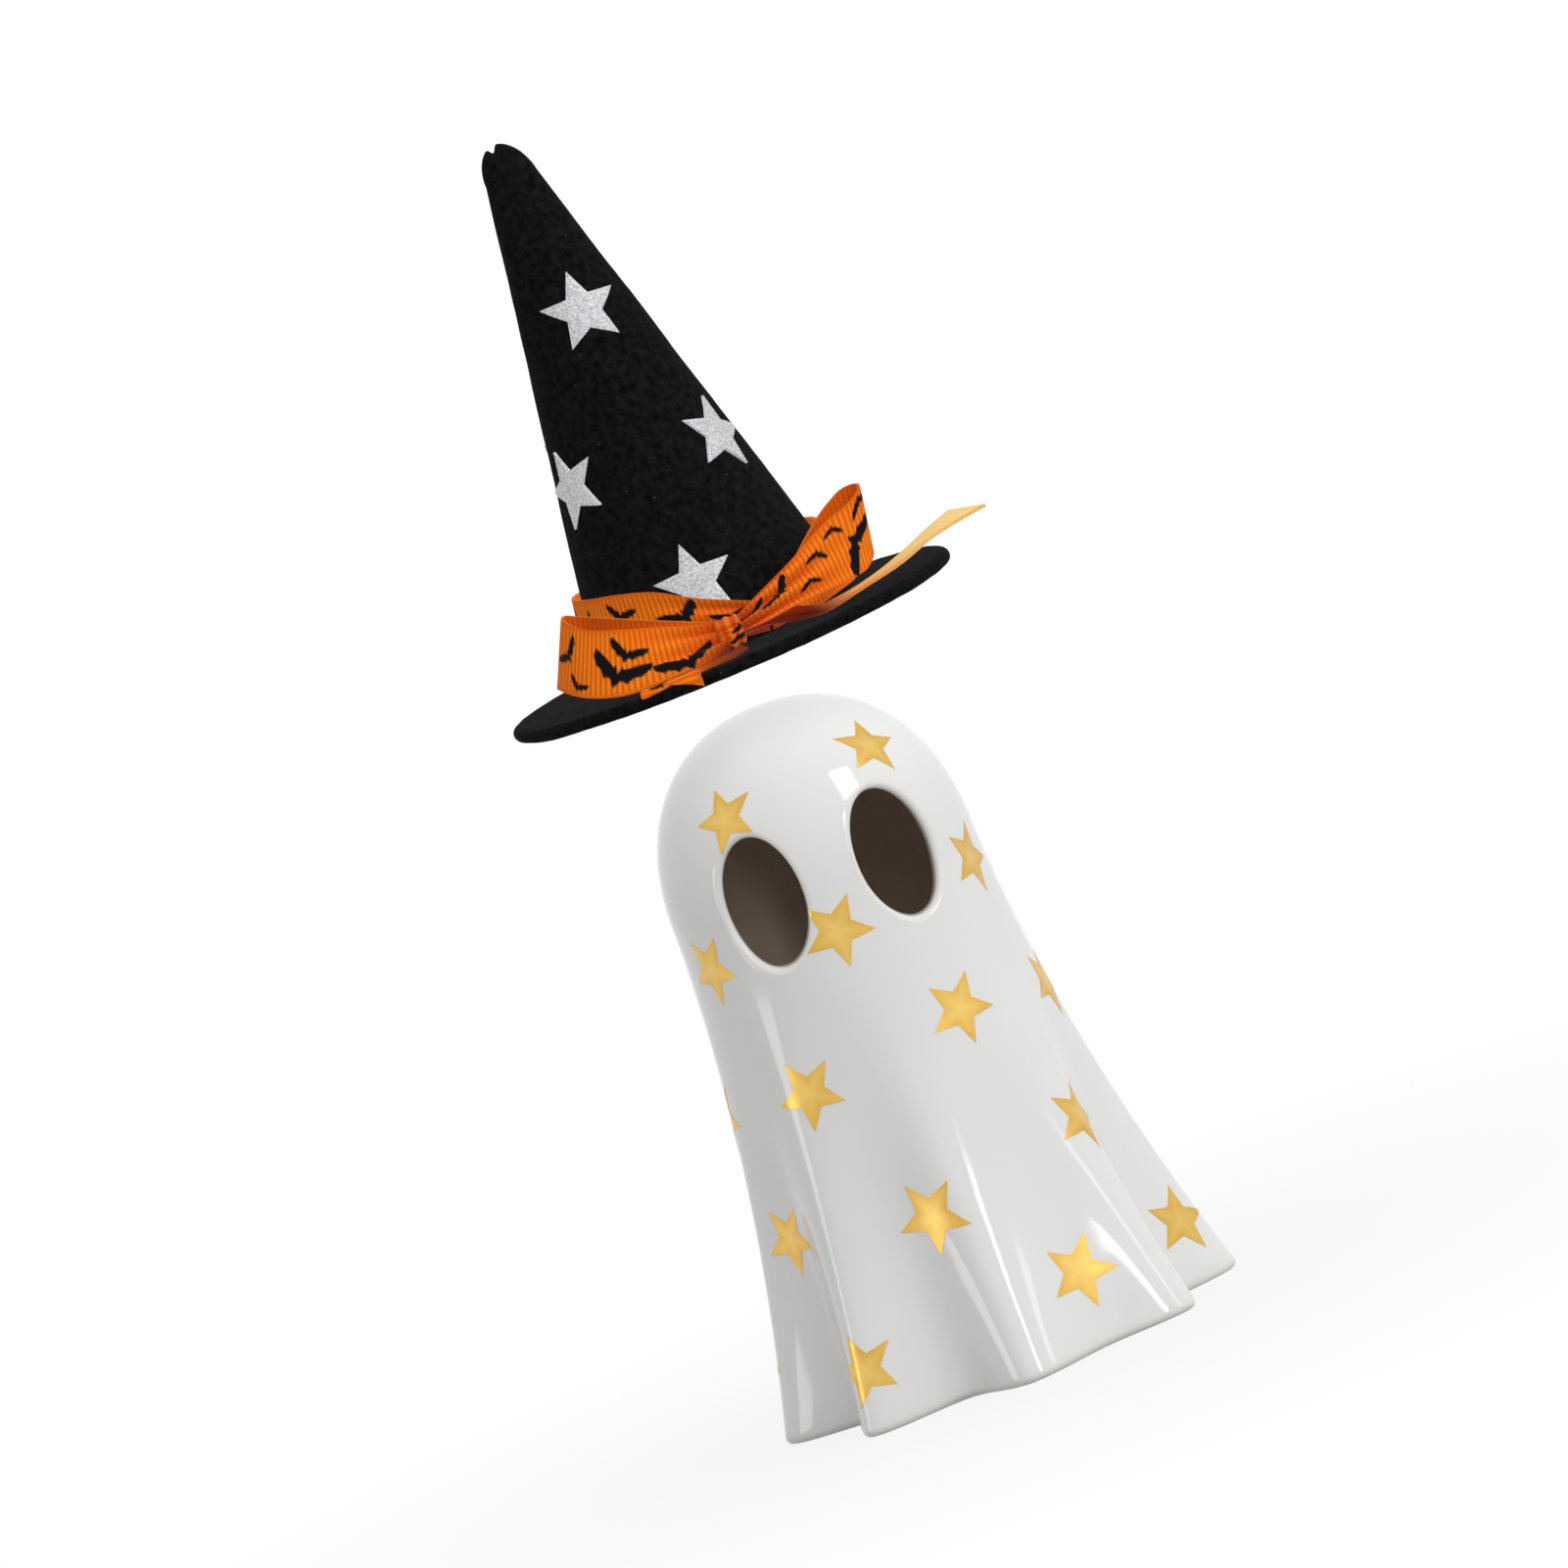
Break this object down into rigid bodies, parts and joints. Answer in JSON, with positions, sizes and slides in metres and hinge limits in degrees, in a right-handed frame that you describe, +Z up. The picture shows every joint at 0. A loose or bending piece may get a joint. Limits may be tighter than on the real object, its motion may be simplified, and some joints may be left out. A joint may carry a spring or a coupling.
{
  "type": "ceramic ghost figure",
  "caption": "Standing hollow glazed ceramic ghost with open eye holes and a folded hem, and a pointed black felt witch hat with a ribbon bow that lifts off its head.",
  "frame": {"origin": "centre of the hem on the surface that the figure stands on", "axes": "+Z up through the head, the eyes look along -Y, +X to the viewer's right"},
  "size_m": [0.0756, 0.0692, 0.1915],
  "materials": {
    "white_glaze": "glossy white glaze with gold star transfers",
    "black_felt": "matte pressed felt",
    "clear_glue": "cloudy hot-melt glue",
    "silver_patch": "pale silver glitter felt",
    "orange_ribbon": "ribbed grosgrain with printed bats"
  },
  "bodies": {
    "ghost": {"ghost_shell": "white_glaze"},
    "hat": {"hat_crown": "black_felt", "hat_brim": "black_felt", "glue_line": "clear_glue", "hat_stars_front": "silver_patch", "hat_stars_back": "silver_patch", "ribbon_band": "orange_ribbon", "bow_knot": "orange_ribbon", "bow_left_loop": "orange_ribbon", "bow_right_loop": "orange_ribbon", "bow_left_tail": "orange_ribbon", "bow_right_tail": "orange_ribbon"}
  },
  "joints": [
    {"name": "hat_lift", "type": "slide", "parent": "ghost", "child": "hat", "axis": [0, 0, 1], "range_m": [-0.0158, 0.03]}
  ]
}
